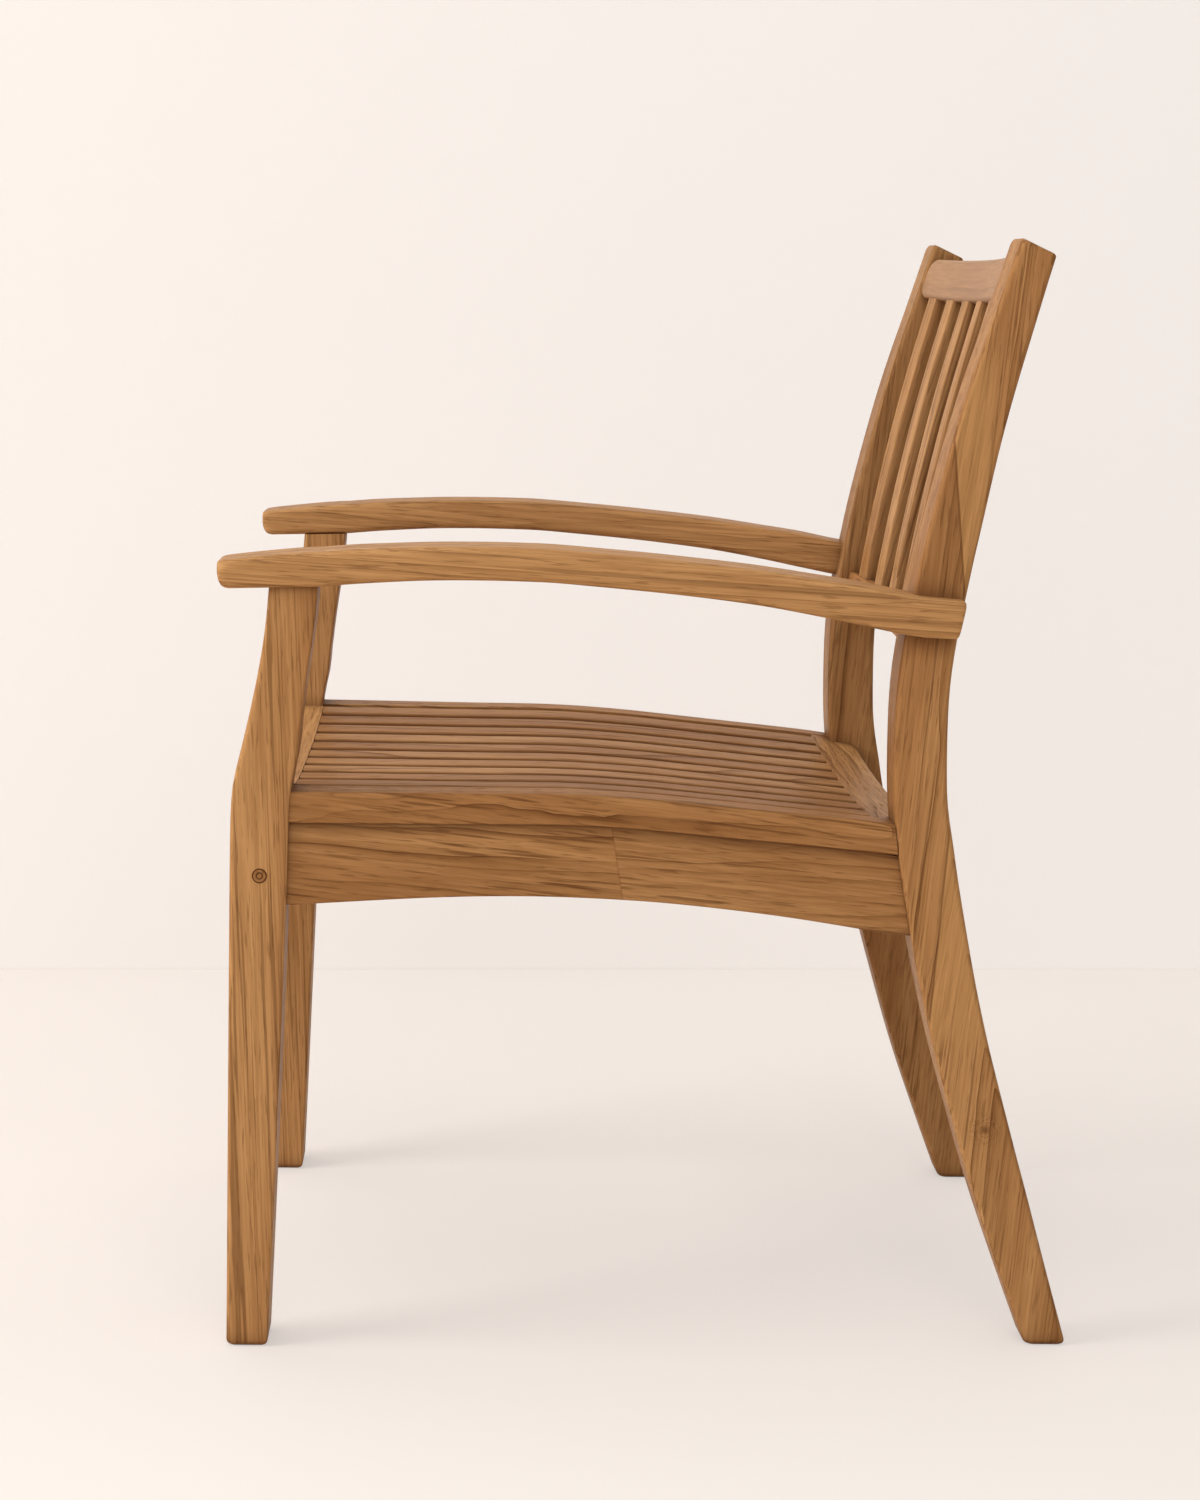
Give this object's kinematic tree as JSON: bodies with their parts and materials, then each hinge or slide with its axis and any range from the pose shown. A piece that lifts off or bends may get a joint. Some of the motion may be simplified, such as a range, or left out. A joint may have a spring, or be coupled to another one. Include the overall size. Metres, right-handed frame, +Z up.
{
  "type": "garden armchair",
  "caption": "Single-seat slatted wooden garden armchair with curved arms, dished slatted seat and raked slatted back.",
  "frame": {"origin": "middle of the chair's overall box, at the level of the feet", "axes": "+X to the sitter's left, -Y the way the chair faces, +Z up"},
  "size_m": [0.582, 0.6825, 0.882],
  "materials": {
    "frame_teak": "sanded, oiled",
    "slat_teak": "sanded, oiled",
    "plug_teak": "sanded end grain",
    "screw_steel": "plain stainless"
  },
  "bodies": {
    "root": {"left_front_leg": "frame_teak", "right_front_leg": "frame_teak", "left_rear_post": "frame_teak", "right_rear_post": "frame_teak", "left_arm": "frame_teak", "right_arm": "frame_teak", "crest_rail": "frame_teak", "lower_back_rail": "frame_teak", "back_slat_1": "slat_teak", "back_slat_2": "slat_teak", "back_slat_3": "slat_teak", "back_slat_4": "slat_teak", "back_slat_5": "slat_teak", "left_seat_rail": "frame_teak", "right_seat_rail": "frame_teak", "seat_front_rail": "frame_teak", "seat_rear_board": "frame_teak", "seat_slat_1": "slat_teak", "seat_slat_2": "slat_teak", "seat_slat_3": "slat_teak", "seat_slat_4": "slat_teak", "seat_slat_5": "slat_teak", "seat_slat_6": "slat_teak", "seat_slat_7": "slat_teak", "seat_slat_8": "slat_teak", "seat_slat_9": "slat_teak", "seat_slat_10": "slat_teak", "seat_bearer": "frame_teak", "front_apron": "frame_teak", "rear_apron": "frame_teak", "left_side_apron": "frame_teak", "right_side_apron": "frame_teak", "left_leg_plug": "plug_teak", "right_leg_plug": "plug_teak", "left_apron_screw": "screw_steel", "right_apron_screw": "screw_steel"}
  },
  "joints": []
}
